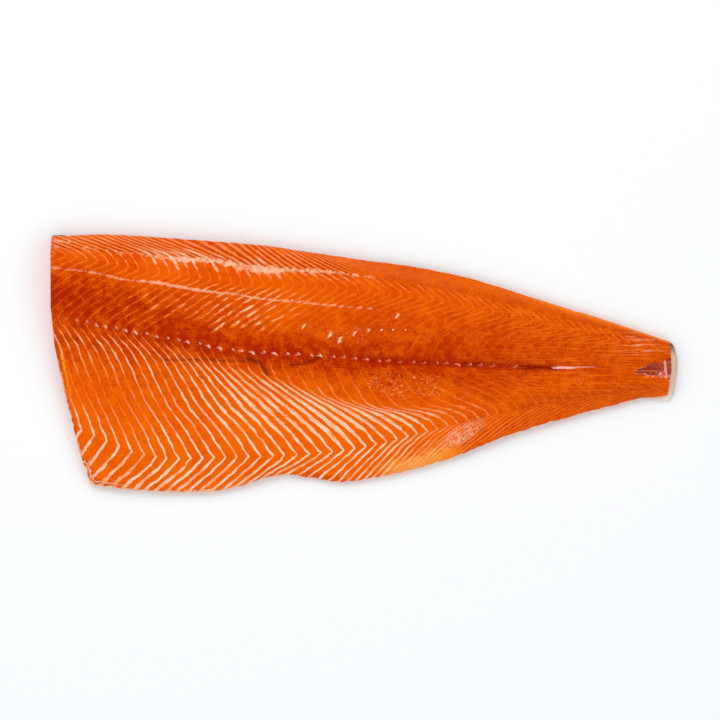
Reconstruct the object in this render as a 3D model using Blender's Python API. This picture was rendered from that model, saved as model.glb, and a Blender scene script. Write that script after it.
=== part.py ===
"""A whole side of raw salmon lying flat, skin down and flesh up.

X runs from the head cut to the tail, Y from the belly edge to the back edge, and Z up.
The flesh is one body whose muscle layers show as low ridges, each bent like a W.
The skin is a thin sheet under it, turned up along the back and longer at the tail.
"""

import bmesh
import bpy
import numpy as np

MM = 0.001

# Outline seen from above, in millimetres. The two long edges run past both cuts.
BACK_EDGE = (
    (-309.5, 114.5), (-280.5, 114.5), (-237.5, 116), (-183.5, 113.5), (-129.5, 109.5), (-84, 105.5), (-57.5, 101.5),
    (-3.5, 93.5), (50.5, 86), (104.5, 74), (158.5, 57), (212.5, 40.5), (274, 20), (320.5, 4.5),
)
BELLY_EDGE = (
    (-309.5, -80), (-273.5, -99.5), (-244.5, -109), (-219.5, -113), (-174.5, -116), (-134, -115),
    (-111.5, -110.5), (-89, -103.5), (-66.5, -100.5), (-46.5, -103.5), (-26, -106.5), (14.5, -102.5),
    (50.5, -94), (86.5, -82.5), (122.5, -67.5), (158.5, -56), (212.5, -41), (248.5, -32), (274, -29),
    (320.5, -23),
)
HEAD_CUT = (
    (-279, 125), (-279, 114), (-282.5, 105.5), (-282.5, 57), (-279, 21), (-273.5, -8), (-267, -29.5),
    (-261.5, -58.5), (-252, -94.5), (-245.5, -108.5), (-240, -125),
)
TAIL_CUT = ((275, 60), (276, 18), (277.3, 6), (277, -12), (276.3, -25), (273.5, -31), (271, -60))
SKIN_TAIL_CUT = (
    (272, 60), (275, 20.5), (278.5, 15.5), (281, 9), (282.5, -1.5), (281.5, -15), (279, -29), (275.5, -34.5),
    (271, -38), (268, -60),
)

# The bent course of a few muscle layers, each under its number counted from the head. The marks are:
# X at the back edge, then points on the fat line, the loin bend, the white line, the edge of the dark meat,
# the midline, the rib line, the belly wall and the belly bend, then X at the belly edge.
LAYERS = {
    5: (-299.5, (-268, 102.5), (-258.5, 95.5), (-274.5, 87), (-300.5, 67.5), (-315, 51.5), (-303, 30),
        (-288.5, -11.5), (-277, -49.5), -302),
    12: (-243.5, (-201.5, 98.5), (-193, 84), (-207.5, 75), (-238.5, 56), (-258, 37.5), (-243, 15.5),
         (-223, -31.5), (-198, -82), -227.5),
    20: (-177, (-127.5, 91.5), (-119.5, 73.5), (-136, 64), (-163.5, 44.5), (-191.5, 25), (-173.5, 3),
         (-149, -37.5), (-114, -84), -148.5),
    29: (-105, (-47.5, 81), (-33.5, 69.5), (-54, 54), (-89, 32.5), (-108.5, 11), (-102.5, -6),
         (-54.5, -43), (-18, -78), -50),
    38: (-28.5, (39, 72), (52, 59), (22.5, 47), (-1.5, 26.5), (-8, 4.5), (19, -39), (46, -45.5),
         (66.5, -59), 22),
    46: (32.5, (111, 57.5), (125.5, 44.5), (98.5, 34), (76.5, 18), (69.5, 0), (125.5, -27), (133.5, -34),
         (138.5, -40.5), 66),
    56: (127, (202, 34.5), (212.5, 23.5), (190, 19), (175, 7.5), (170.5, -3.5), (208, -17), (215.5, -22.5),
         (221.5, -26), 158.5),
    68: (250.5, (307, 7.5), (316, 3), (295.5, 3.5), (281, 0), (277.5, -5.5), (302.5, -12.5), (310, -15),
         (313.5, -18.5), 262),
}
# How far each of those ten marks is a soft bend (1) or a sharp one (0).
BEND_SOFTNESS = (0, 0.6, 1, 0.5, 1, 0.6, 0.6, 1, 0.15, 0)
FIRST_LAYER = 2
LAST_LAYER = 71.5
COLUMNS_PER_LAYER = 2

# Top of the flesh above the table at the ten marks, for five layers from the head to the tail.
HEIGHTS = {
    4: (9.5, 22.5, 26, 26.5, 25, 21.5, 18, 13, 10, 6),
    20: (9, 21.5, 25, 26, 24, 20.5, 16.5, 12, 9, 5.5),
    36: (8, 18.5, 21.5, 22.5, 21.5, 18.5, 14.5, 12.5, 9.5, 5.5),
    52: (6.5, 13.5, 16, 17, 16.5, 14.5, 15, 13.5, 11, 5.5),
    68: (5, 8.5, 9.5, 10.5, 10.8, 10, 10, 9, 8, 4.5),
}
BACK_SHOULDER = 1.8

# Places across a layer, where 0 to 9 are the ten marks.
ACROSS = (
    0, 0.08, 0.25, 0.5, 0.75, 1, 1.33, 1.67, 2, 2.4, 3, 3.5, 4, 4.5, 4.86, 5, 5.14, 5.55, 5.93, 6.07, 6.5, 7,
    7.33, 7.67, 8, 8.33, 8.67, 8.93, 9,
)
UNDER = (8.93, 1, 0.65, 0.35, 0.08)

# Relief of the muscle layers at the ten marks, half of it below the surface and half above.
LAYER_RELIEF = (0.2, 0.35, 0.45, 0.35, 0.3, 0.4, 0.4, 0.6, 0.55, 0.2)
TAIL_RELIEF = 0.55
SWELL = 0.45
SWELL_LENGTH = 38
SWELL_WIDTH = 26.6
# Where the swells start along the side and across it.
SWELL_START = (0.6, 1.1)
MIDLINE_GROOVE = 1.5
MIDLINE_GROOVE_LAYERS = (33, 60)
RIB_STEP = 1.0
RIB_STEP_LAYERS = (16, 30)
BELLY_LIP = 0.9
BELLY_LIP_LAYERS = (9, 20)

SKIN_THICKNESS = 0.8
SKIN_GAP = 0.3
SKIN_PAST_BACK = 0.3
SKIN_INSIDE_BELLY = 1.5
SKIN_STEP = 9
# Towards the tail the skin comes out past the belly edge, from one X over a length to a width.
SKIN_SPREAD_FROM = 245
SKIN_SPREAD_OVER = 25
SKIN_SPREAD = 6.5
FLESH_UNDERSIDE = SKIN_THICKNESS + SKIN_GAP
# How far the back edge turns up from the table, and over what width.
TURN_UP = ((-310, 2.4), (100, 2.0), (290, 0.8))
TURN_UP_WIDTH = 12
TURN_UP_ROWS = (0, 3, 6.5, 12.5)


def smooth(points, at):
    """Y of the smooth curve through the points at each X, straight beyond them."""
    xs, ys = np.array(points, float).T
    at = np.asarray(at, float)
    widths = np.diff(xs)
    steps = np.diff(ys) / widths
    slopes = np.concatenate([steps[:1], steps[1:], steps[-1:]])
    slopes[1:-1] = (steps[:-1] * widths[1:] + steps[1:] * widths[:-1]) / (widths[1:] + widths[:-1])
    span = np.clip(np.searchsorted(xs, at) - 1, 0, len(xs) - 2)
    u = (at - xs[span]) / widths[span]
    inside = (
        ys[span] * (1 + 2 * u) * (1 - u) ** 2
        + ys[span + 1] * u**2 * (3 - 2 * u)
        + widths[span] * (slopes[span] * u * (1 - u) ** 2 - slopes[span + 1] * u**2 * (1 - u))
    )
    before = ys[0] + slopes[0] * (at - xs[0])
    after = ys[-1] + slopes[-1] * (at - xs[-1])
    return np.where(u < 0, before, np.where(u > 1, after, inside))


def steady(values, at):
    """The curve through values at 0, 1, 2 ... that never swings past them."""
    values = np.asarray(values, float)
    steps = np.diff(values)
    slopes = np.zeros(len(values))
    slopes[0], slopes[-1] = steps[0], steps[-1]
    same_way = steps[:-1] * steps[1:] > 0
    before, after = steps[:-1][same_way], steps[1:][same_way]
    slopes[1:-1][same_way] = 2 * before * after / (before + after)
    span = np.clip(np.floor(at).astype(int), 0, len(values) - 2)
    u = at - span
    return (
        values[span] * (1 + 2 * u) * (1 - u) ** 2
        + values[span + 1] * u**2 * (3 - 2 * u)
        + slopes[span] * u * (1 - u) ** 2
        - slopes[span + 1] * u**2 * (1 - u)
    )


def window(value, ends, softness=3):
    """1 between the two ends, easing to 0 within the softness."""
    inside = np.clip(min(value - ends[0], ends[1] - value) / softness, 0, 1)
    return inside * inside * (3 - 2 * inside)


def marks(layer):
    """The ten (x, y) marks of one muscle layer."""
    numbers = sorted(LAYERS)
    back_x = float(smooth([(n, LAYERS[n][0]) for n in numbers], layer))
    belly_x = float(smooth([(n, LAYERS[n][9]) for n in numbers], layer))
    found = [(back_x, float(smooth(BACK_EDGE, back_x)))]
    for mark in range(1, 9):
        x = float(smooth([(n, LAYERS[n][mark][0]) for n in numbers], layer))
        y = float(smooth([(n, LAYERS[n][mark][1]) for n in numbers], layer))
        found.append((x, y))
    return np.array([*found, (belly_x, float(smooth(BELLY_EDGE, belly_x)))])


def course(layer, across):
    """X and Y of one muscle layer at places across it."""
    xs, ys = marks(layer).T
    softness = np.interp(across, range(10), BEND_SOFTNESS)
    straight = np.interp(across, range(10), xs)
    return straight + softness * (steady(xs, across) - straight), steady(ys, across)


def turn_up(x, y):
    """How far the underside stands off the table near the back edge."""
    inward = np.clip((smooth(BACK_EDGE, x) - y) / TURN_UP_WIDTH, 0, 1)
    return smooth(TURN_UP, x) * (1 - inward) ** 2


def top_height(layer, across, x, y):
    """Height of the flesh at places across one muscle layer."""
    numbers = sorted(HEIGHTS)
    at_marks = [float(smooth([(n, HEIGHTS[n][mark]) for n in numbers], layer)) for mark in range(10)]
    shoulder = np.where(across < 1, 1 - (1 - np.minimum(across, 1)) ** BACK_SHOULDER, across)
    height = steady(at_marks, shoulder)
    tailward = np.clip((layer - numbers[0]) / (numbers[-1] - numbers[0]), 0, 1)
    relief = np.interp(across, range(10), LAYER_RELIEF) * (1 + (TAIL_RELIEF - 1) * tailward)
    height = height - relief * np.cos(2 * np.pi * layer)
    lengthwise = np.sin(x / SWELL_LENGTH + SWELL_START[0])
    height = height + SWELL * lengthwise * np.sin(y / SWELL_WIDTH + SWELL_START[1])
    groove = np.interp(across, (4.8, 5, 5.2), (0, 1, 0)) * window(layer, MIDLINE_GROOVE_LAYERS)
    step = np.interp(across, (5.5, 5.93, 6.07, 6.5), (0, 1, -1, 0)) * window(layer, RIB_STEP_LAYERS)
    lip = np.interp(across, (8.5, 8.93, 9), (0, 1, 0)) * window(layer, BELLY_LIP_LAYERS)
    return height - MIDLINE_GROOVE * groove + RIB_STEP / 2 * step + BELLY_LIP * lip


def closed_strip(name, rings):
    """A solid from equal rings of points in millimetres, one after the other along X."""
    mesh = bmesh.new()
    loops = [[mesh.verts.new(np.array(point) * MM) for point in ring] for ring in rings]
    for near, far in zip(loops, loops[1:]):
        for i in range(len(near)):
            j = (i + 1) % len(near)
            mesh.faces.new((near[i], near[j], far[j], far[i]))
    mesh.faces.new(loops[0])
    mesh.faces.new(loops[-1])
    bmesh.ops.recalc_face_normals(mesh, faces=mesh.faces)
    return add_object(name, mesh)


def prism(name, outline, bottom=-20, top=60):
    """An upright solid over an outline."""
    mesh = bmesh.new()
    base = mesh.faces.new([mesh.verts.new((x * MM, y * MM, bottom * MM)) for x, y in outline])
    raised = bmesh.ops.extrude_face_region(mesh, geom=[base])["geom"]
    corners = [item for item in raised if isinstance(item, bmesh.types.BMVert)]
    bmesh.ops.translate(mesh, verts=corners, vec=(0, 0, (top - bottom) * MM))
    bmesh.ops.recalc_face_normals(mesh, faces=mesh.faces)
    return add_object(name, mesh)


def add_object(name, mesh):
    data = bpy.data.meshes.new(name)
    mesh.to_mesh(data)
    mesh.free()
    made = bpy.data.objects.new(name, data)
    bpy.context.collection.objects.link(made)
    return made


def cut_away(made, cutter):
    """Takes the cutter's space out of the object and hides the cutter."""
    trim = made.modifiers.new(cutter.name, "BOOLEAN")
    trim.operation = "DIFFERENCE"
    trim.solver = "EXACT"
    trim.object = cutter
    cutter.hide_render = True
    cutter.display_type = "WIRE"


def give_material(made, colour, roughness, metallic=0.0):
    material = bpy.data.materials.new(made.name)
    material.use_nodes = True
    surface = material.node_tree.nodes["Principled BSDF"]
    surface.inputs["Base Color"].default_value = (*colour, 1)
    surface.inputs["Roughness"].default_value = roughness
    surface.inputs["Metallic"].default_value = metallic
    made.data.materials.append(material)


def flesh_ring(layer):
    """The outline of the flesh along one muscle layer: over the top and back underneath."""
    across = np.array(ACROSS)
    x, y = course(layer, across)
    z = top_height(layer, across, x, y)
    under = np.array(UNDER)
    under_x, under_y = course(layer, under)
    under_z = FLESH_UNDERSIDE + turn_up(under_x, under_y)
    z[0] = (z[1] + under_z[-1]) / 2
    z[-1] = (z[-2] + under_z[0]) / 2
    return [*zip(x, y, z), *zip(under_x, under_y, under_z)]


def skin_ring(x):
    """The outline of the skin straight across at one X."""
    back = float(smooth(BACK_EDGE, x)) + SKIN_PAST_BACK
    belly = float(smooth(BELLY_EDGE, x)) + SKIN_INSIDE_BELLY
    belly -= SKIN_SPREAD * np.clip((x - SKIN_SPREAD_FROM) / SKIN_SPREAD_OVER, 0, 1)
    y = np.array([*(back - inward for inward in TURN_UP_ROWS), belly])
    z = turn_up(np.full(len(y), x), y)
    top = [(x, b, c + SKIN_THICKNESS) for b, c in zip(y, z)]
    return [*top, *[(x, b, c) for b, c in zip(y[::-1], z[::-1])]]


def main():
    for left_over in list(bpy.data.objects):
        bpy.data.objects.remove(left_over, do_unlink=True)
    count = round((LAST_LAYER - FIRST_LAYER) * COLUMNS_PER_LAYER) + 1
    flesh = closed_strip("flesh", [flesh_ring(n) for n in np.linspace(FIRST_LAYER, LAST_LAYER, count)])
    skin = closed_strip("skin", [skin_ring(x) for x in np.arange(-300, 305, SKIN_STEP)])
    head_cutter = prism("head_cutter", [*HEAD_CUT, (-340, -125), (-340, 125)])
    tail_cutter = prism("tail_cutter", [*TAIL_CUT, (360, -60), (360, 60)])
    skin_tail_cutter = prism("skin_tail_cutter", [*SKIN_TAIL_CUT, (360, -60), (360, 60)])
    cut_away(flesh, head_cutter)
    cut_away(flesh, tail_cutter)
    cut_away(skin, head_cutter)
    cut_away(skin, skin_tail_cutter)
    give_material(flesh, (0.72, 0.13, 0.02), 0.38)
    give_material(skin, (0.28, 0.3, 0.31), 0.35, 0.4)


main()
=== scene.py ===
"""A whole side of raw salmon, laid out as an add-on and run as a script.

Distances in the tables are millimetres in the model's own frame: X to the tail, Y to the back, Z up.
"""

import bpy
import numpy as np
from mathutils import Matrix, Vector, noise


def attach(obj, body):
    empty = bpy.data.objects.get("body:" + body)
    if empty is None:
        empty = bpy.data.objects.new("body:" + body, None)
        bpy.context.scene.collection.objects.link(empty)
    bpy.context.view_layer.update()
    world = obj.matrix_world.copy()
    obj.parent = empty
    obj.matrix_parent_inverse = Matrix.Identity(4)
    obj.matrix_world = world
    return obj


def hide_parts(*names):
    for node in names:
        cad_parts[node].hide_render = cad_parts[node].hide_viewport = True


bl_info = {
    "name": "Salmon side",
    "version": (1, 0, 0),
    "blender": (4, 5, 0),
    "location": "3D View > Sidebar > Salmon",
    "description": "Builds a raw salmon side with its muscle layers, fat lines and skin",
    "category": "Object",
}

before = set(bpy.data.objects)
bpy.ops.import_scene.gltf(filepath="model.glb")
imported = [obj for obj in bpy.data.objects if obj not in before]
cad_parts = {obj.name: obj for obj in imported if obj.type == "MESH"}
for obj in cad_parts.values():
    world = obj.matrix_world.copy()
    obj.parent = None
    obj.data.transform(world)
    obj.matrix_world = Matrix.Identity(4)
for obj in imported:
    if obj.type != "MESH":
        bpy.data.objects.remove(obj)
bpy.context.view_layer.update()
MM = 0.001

# Outline from above.
BACK_EDGE = (
    (-309.5, 114.5), (-280.5, 114.5), (-237.5, 116), (-183.5, 113.5), (-129.5, 109.5), (-84, 105.5),
    (-57.5, 101.5), (-3.5, 93.5), (50.5, 86), (104.5, 74), (158.5, 57), (212.5, 40.5), (274, 20),
    (320.5, 4.5),
)
BELLY_EDGE = (
    (-309.5, -80), (-273.5, -99.5), (-244.5, -109), (-219.5, -113), (-174.5, -116), (-134, -115),
    (-111.5, -110.5), (-89, -103.5), (-66.5, -100.5), (-46.5, -103.5), (-26, -106.5), (14.5, -102.5),
    (50.5, -94), (86.5, -82.5), (122.5, -67.5), (158.5, -56), (212.5, -41), (248.5, -32), (274, -29),
    (320.5, -23),
)
HEAD_CUT = (
    (-280.8, 117), (-281.4, 100), (-281.4, 50), (-278, 15), (-269.5, -25), (-255.5, -82), (-244, -114),
)
TAIL_CUT = (
    (275, 40), (276, 18), (277.3, 6), (277, -12), (276.3, -25), (273.5, -31), (271.5, -45),
)
SKIN_TAIL_CUT = (
    (271, 24), (276, 20.5), (279.5, 15), (281.8, 7), (282.5, -2), (281.5, -15), (279, -28),
    (275.5, -34.5), (268, -38),
)

# The bent course of some muscle layers: eight bends from the back to the belly, then X at the belly edge.
LAYERS = {
    5: ((-268, 102.5), (-258.5, 95.5), (-274.5, 87), (-300.5, 67.5), (-315, 51.5), (-303, 30),
        (-288.5, -11.5), (-277, -49.5), -302),
    12: ((-201.5, 98.5), (-193, 84), (-207.5, 75), (-238.5, 56), (-258, 37.5), (-243, 15.5),
         (-223, -31.5), (-198, -82), -227.5),
    20: ((-127.5, 91.5), (-119.5, 73.5), (-136, 64), (-163.5, 44.5), (-191.5, 25), (-173.5, 3),
         (-149, -37.5), (-114, -84), -148.5),
    29: ((-47.5, 81), (-33.5, 69.5), (-54, 54), (-89, 32.5), (-108.5, 11), (-102.5, -6),
         (-54.5, -43), (-18, -78), -50),
    38: ((39, 72), (52, 59), (22.5, 47), (-1.5, 26.5), (-8, 4.5), (19, -39), (46, -45.5),
         (66.5, -59), 22),
    46: ((111, 57.5), (125.5, 44.5), (98.5, 34), (76.5, 18), (69.5, 0), (125.5, -27), (133.5, -34),
         (138.5, -40.5), 66),
    56: ((202, 34.5), (212.5, 23.5), (190, 19), (175, 7.5), (170.5, -3.5), (208, -17), (215.5, -22.5),
         (221.5, -26), 158.5),
    68: ((307, 7.5), (316, 3), (295.5, 3.5), (281, 0), (277.5, -5.5), (302.5, -12.5), (310, -15),
         (313.5, -18.5), 262),
}
# X at the back edge of some layers, where they crowd together behind the shoulder.
BACK_ENDS = (
    (5, -299.5), (12, -243.5), (20, -177), (24, -122), (29, -85), (38, -28.5), (46, 32.5), (56, 127),
    (68, 250.5),
)
BEND_SOFTNESS = (0, 0.6, 1, 0.5, 1, 0.6, 0.6, 1, 0.15, 0)
FIRST_LAYER = 2
LAST_LAYER = 71.5

# At the ten marks, for layers from the head to the tail: height, and how the pale seams and the meat look.
HEIGHTS = {
    4: (9.5, 22.5, 26, 26.5, 25, 21.5, 18, 13, 10, 6),
    20: (9, 21.5, 25, 26, 24, 20.5, 16.5, 12, 9, 5.5),
    36: (8, 18.5, 21.5, 22.5, 21.5, 18.5, 14.5, 12.5, 9.5, 5.5),
    52: (6.5, 13.5, 16, 17, 16.5, 14.5, 15, 13.5, 11, 5.5),
    68: (5, 8.5, 9.5, 10.5, 10.8, 10, 10, 9, 8, 4.5),
}
SEAM_STRENGTH = {
    5: (0.45, 0.4, 0.35, 0.2, 0.06, 0.12, 0.56, 0.3, 0.9, 0.7),
    12: (0.45, 0.42, 0.35, 0.24, 0.16, 0.2, 0.6, 0.34, 0.9, 0.75),
    17: (0.5, 0.46, 0.32, 0.4, 0.36, 0.22, 0.72, 0.6, 1, 0.8),
    20: (0.5, 0.5, 0.3, 0.54, 0.5, 0.25, 0.8, 0.9, 1, 0.85),
    28: (0.5, 0.5, 0.22, 0.56, 0.66, 0.12, 0.55, 1, 1, 0.85),
    31: (0.5, 0.5, 0.22, 0.26, 0.22, 0.1, 0.5, 1, 1, 0.85),
    34: (0.45, 0.45, 0.22, 0.16, 0.12, 0.06, 0.5, 1, 0.95, 0.75),
    38: (0.4, 0.4, 0.26, 0.2, 0.14, 0.05, 0.5, 0.85, 0.7, 0.8),
    42: (0.35, 0.35, 0.28, 0.22, 0.18, 0.05, 0.3, 0.45, 0.5, 0.7),
    46: (0.3, 0.35, 0.3, 0.22, 0.16, 0.05, 0.22, 0.24, 0.34, 0.5),
    56: (0.3, 0.3, 0.26, 0.2, 0.12, 0.04, 0.16, 0.24, 0.28, 0.3),
    68: (0.25, 0.25, 0.2, 0.14, 0.08, 0.04, 0.1, 0.2, 0.2, 0.25),
}
SEAM_WIDTH = {
    5: (1.0, 0.9, 0.8, 0.8, 0.7, 0.7, 1.0, 0.8, 1.6, 3.0),
    12: (1.0, 0.9, 0.8, 0.8, 1.1, 0.7, 1.1, 0.9, 1.6, 3.0),
    20: (1.0, 1.0, 0.8, 1.0, 1.6, 0.7, 0.9, 1.6, 1.5, 2.4),
    28: (0.9, 0.9, 0.7, 1.1, 2.0, 0.6, 0.9, 3.4, 1.3, 1.6),
    34: (0.8, 0.8, 0.7, 0.8, 0.8, 0.6, 1.1, 3.8, 1.3, 1.5),
    38: (0.7, 0.7, 0.7, 0.7, 0.7, 0.6, 1.2, 2.8, 1.0, 1.3),
    46: (0.7, 0.7, 0.7, 0.7, 0.6, 0.6, 0.8, 1.0, 1.0, 1.1),
    56: (0.7, 0.7, 0.7, 0.7, 0.6, 0.6, 0.6, 0.7, 0.8, 0.9),
    68: (0.7, 0.7, 0.7, 0.7, 0.6, 0.6, 0.6, 0.7, 0.7, 0.7),
}
DARK_MEAT = {
    5: (0.15, 0.15, 0.15, 0.45, 1.0, 0.8, 0.35, 0.2, 0.15, 0.2),
    12: (0.15, 0.12, 0.08, 0.3, 1.0, 0.75, 0.52, 0.22, 0.15, 0.2),
    20: (0.15, 0.15, 0.05, 0.12, 0.6, 0.95, 0.4, 0.12, 0.12, 0.2),
    29: (0.15, 0.1, 0.05, 0.05, 0.35, 0.9, 0.15, 0, 0.05, 0.2),
    38: (0.2, 0.2, 0.15, 0.2, 0.4, 0.85, 0.05, 0, 0.05, 0.2),
    46: (0.25, 0.3, 0.35, 0.4, 0.5, 0.7, 0.3, 0.2, 0.25, 0.25),
    56: (0.35, 0.35, 0.42, 0.45, 0.5, 0.5, 0.4, 0.35, 0.35, 0.3),
    68: (0.3, 0.3, 0.35, 0.4, 0.4, 0.45, 0.3, 0.2, 0.2, 0.2),
}

# Lines that run lengthwise.
FAT_LINE = (
    (-283, 104.5), (-246.5, 103.5), (-212, 99), (-174.5, 94.5), (-127.5, 91), (-111.5, 87.5), (-91.5, 85),
    (-57.5, 83.5), (-17, 80.5), (32.5, 73), (77.5, 63), (149.5, 49.5), (212.5, 30), (290, 8),
)
FAT_WIDTH = (
    (-283, 0.2), (-215, 0.5), (-185, 1.0), (-170, 2.4), (-130, 2.5), (-100, 3.3), (-85, 3.2), (-68, 1.8),
    (-45, 1.6), (-20, 0.8), (40, 0.3), (290, 0.2),
)
WHITE_LINE = (
    (-283, 86.5), (-268, 84.5), (-237.5, 80.5), (-219.5, 76), (-183.5, 72), (-147.5, 65.5),
    (-111.5, 61.5), (-91.5, 58), (-57.5, 55.5), (-35, 52.5), (-12.5, 51), (6.5, 49), (29, 45), (47, 41.5),
    (69.5, 38), (111, 31), (149.5, 27.5), (203.5, 21), (250, 14), (290, 8),
)
WHITE_WIDTH = (
    (-283, 1.0), (-245, 0.7), (-200, 0.9), (-180, 1.5), (-150, 1.3), (-120, 0.9), (-60, 1.1), (-40, 0.8),
    (0, 0.9), (8, 0.45), (60, 0.3), (290, 0.1),
)
BONE_LINE = (
    (-290, 42), (-267.5, 40), (-232.5, 33.5), (-196, 26.5), (-148.5, 17.5), (-108.5, 11), (-68, 8.5),
    (-17, 5.5), (24.5, 2), (75.5, 0), (127, -2.5), (176.5, -4.3), (248.5, -5), (290, -5.5),
)
# How many pin bones have been passed at an X.
BONE_COUNT = ((-267.5, 0), (-195.5, 8), (-118.5, 16), (-37.5, 24), (45, 32), (138, 41))
GROOVE_DEPTH = (
    (-290, 0), (-60, 0), (-30, 0.6), (20, 1.2), (90, 1.6), (150, 2.0), (178, 2.0), (190, 1.0), (215, 0.5),
    (290, 0.3),
)
GROOVE_WIDTH = 3.2

# Places across run from mark 0 at the back edge to mark 9 at the belly edge.
LAST_MARK = 9
MARKS = range(LAST_MARK + 1)

# Grid points between one inner mark and the next on top, and the grid's rows within a layer.
POINTS_ACROSS = (8, 10, 18, 14, 18, 26, 26)
LAYER_STEPS = (0, 0.08, 0.2, 0.38, 0.62, 0.8, 0.92)

# Both long edges round over this share of a mark, in this many points.
EDGE_ROUND = 0.1
EDGE_POINTS = 6

# How strongly the layers stand in relief at the marks, when the setting is the full one in metres.
RELIEF = (0.15, 0.35, 0.4, 0.3, 0.25, 0.3, 0.4, 0.6, 0.5, 0.2)
FULL_RELIEF = 0.0007

# Clear space between the flesh and the skin.
SKIN_GAP = 0.03

# Upright faces past these X are the cut ends.
HEAD_FACES = -240
TAIL_FACES = 271.5

# The back edge stands off the table: its height at each X, and how far in it comes down.
TURN_UP = ((-310, 2.4), (100, 2.0), (290, 0.8))
TURN_UP_REACH = 12

# Folds and nicks: each a course of points with its depth and half width; the flesh's colour also takes
# painted shade along them.
CREASES = (
    (((-182, 2.5), (-150, 3), (-128, 2), (-103.5, 1.5)), 1.3, 1.3),
    (((-104, 3.5), (-95, 0.5), (-88.5, -6.5), (-87, -11)), 2.0, 2.0),
    (((-66, -2), (-54, -0.5), (-39, 5)), 1.8, 1.3),
    (((108, -29.5), (118, -33), (124, -34)), 0.5, 2.2),
    (((-20, -104), (-32, -103), (-52, -98)), 0.8, 2.0),
)

# Pale rolled lip at the head end of the belly.
LIP = (
    (-252.5, -92), (-250, -104), (-243, -110), (-219.5, -114), (-174.5, -117), (-150, -116.5),
    (-132, -115),
)

# Bold pale marks above the midline: centre, half length and half width, and angle.
PALE_MARKS = (
    ((-30.4, 25.4), (3.2, 1.3), 1.0), ((-21.4, 20.9), (4.4, 1.4), 1.1), ((-8, 27.5), (2.8, 0.8), 0.9),
    ((4.9, 29.9), (1.8, 1.1), 0.9), ((16, 29.9), (1.2, 0.9), 0.9), ((26.3, 29.9), (1.2, 0.8), 0.9),
    ((37.6, 29.9), (1.1, 0.8), 0.9), ((30, 42), (3.0, 0.9), 0.9), ((-54, 33), (2.5, 0.7), 0.9),
)

# Wet meat: a thin film of water over it, with warm reflections.
WET = {"IOR": 1.33, "Specular_IOR_Level": 0.5, "Specular_Tint": (1.0, 0.2, 0.03, 1)}

# Shades that stay as they are whatever the main colours.
BELLY_ORANGE = (0.95, 0.14, 0.002, 1)
YELLOW = (0.95, 0.19, 0.002, 1)
DARK_STREAK = (0.33, 0.026, 0.0006, 1)
DEEP_RED = (0.36, 0.01, 0.0004, 1)
# Colour of the painted shade in creases, nicks and folds.
CREASE_SHADE = (0.2, 0.014, 0.001, 1)
BLOOD = (0.2, 0.003, 0.0004, 1)
AMBER = (0.98, 0.36, 0.025, 1)
HALO = (0.97, 0.2, 0.004, 1)
LIGHT_STREAK = (0.98, 0.18, 0.004, 1)
MEMBRANE_DARK = (0.2, 0.02, 0.016, 1)
MEMBRANE_LIGHT = (0.5, 0.16, 0.09, 1)
BONE_PINK = (1.0, 0.24, 0.15, 1)
# Pale pink of the painted highlights.
PAINTED_HIGHLIGHT = (1.0, 0.5, 0.42, 1)
CUT_SEAM = (1.0, 0.38, 0.13, 1)
SCALE_RIM = (0.09, 0.11, 0.12, 1)
SPOT = (0.01, 0.012, 0.014, 1)
LATERAL_LINE = (0.06, 0.07, 0.08, 1)
FILM = (0.9, 0.79, 0.66, 1)
FILM_BACK = (0.16, 0.15, 0.14, 1)
FILM_BELLY = (0.95, 0.88, 0.72, 1)
FILM_RIM = (0.1, 0.1, 0.1, 1)

# The stage: lamps with place, width and power, the floor, and the camera over the middle of the view.
LAMPS = (
    ("key_light", (-0.7, 1.6, 1.5), 1.6, 19),
    ("fill_light", (0.8, -1.7, 1.4), 1.8, 4.5),
)
FLOOR_SIZE = 12
FLOOR_LEVEL = -0.0005
FLOOR_COLOUR = (0.947, 0.96, 0.966, 1)
SKY_COLOUR = (0.97, 0.985, 1.0, 1)
CAMERA_PLACE = (-0.003375, 0.002925, 7.212)
CAMERA_LENS = 400


def smooth(points, at):
    """Y of the smooth curve through the points at each X, straight beyond them."""
    xs, ys = np.array(points, float).T
    at = np.asarray(at, float)
    widths = np.diff(xs)
    steps = np.diff(ys) / widths
    slopes = np.concatenate([steps[:1], steps[1:], steps[-1:]])
    slopes[1:-1] = (steps[:-1] * widths[1:] + steps[1:] * widths[:-1]) / (widths[1:] + widths[:-1])
    span = np.clip(np.searchsorted(xs, at) - 1, 0, len(xs) - 2)
    u = (at - xs[span]) / widths[span]
    inside = (
        ys[span] * (1 + 2 * u) * (1 - u) ** 2
        + ys[span + 1] * u**2 * (3 - 2 * u)
        + widths[span] * (slopes[span] * u * (1 - u) ** 2 - slopes[span + 1] * u**2 * (1 - u))
    )
    before = ys[0] + slopes[0] * (at - xs[0])
    after = ys[-1] + slopes[-1] * (at - xs[-1])
    return np.where(u < 0, before, np.where(u > 1, after, inside))


def steady(values, at):
    """The curve through rows of values at 0, 1, 2 ... that never swings past them."""
    values = np.asarray(values, float)
    steps = np.diff(values, axis=1)
    before, after = steps[:, :-1], steps[:, 1:]
    total = np.where(np.abs(before + after) < 1e-9, 1, before + after)
    inner = np.where(before * after > 0, 2 * before * after / total, 0)
    slopes = np.concatenate([steps[:, :1], inner, steps[:, -1:]], axis=1)
    span = np.clip(np.floor(at).astype(int), 0, values.shape[1] - 2)
    u = at - span
    return (
        values[:, span] * (1 + 2 * u) * (1 - u) ** 2
        + values[:, span + 1] * u**2 * (3 - 2 * u)
        + slopes[:, span] * u * (1 - u) ** 2
        - slopes[:, span + 1] * u**2 * (1 - u)
    )


def table_rows(table, layers):
    """The ten values of a table at each layer, a row for each."""
    numbers = sorted(table)
    return np.stack([smooth([(n, table[n][mark]) for n in numbers], layers) for mark in MARKS], axis=1)


def field(table, layers, across):
    """A table spread over the grid of layers and places across, a row for each layer."""
    return steady(table_rows(table, layers), across)


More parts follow.
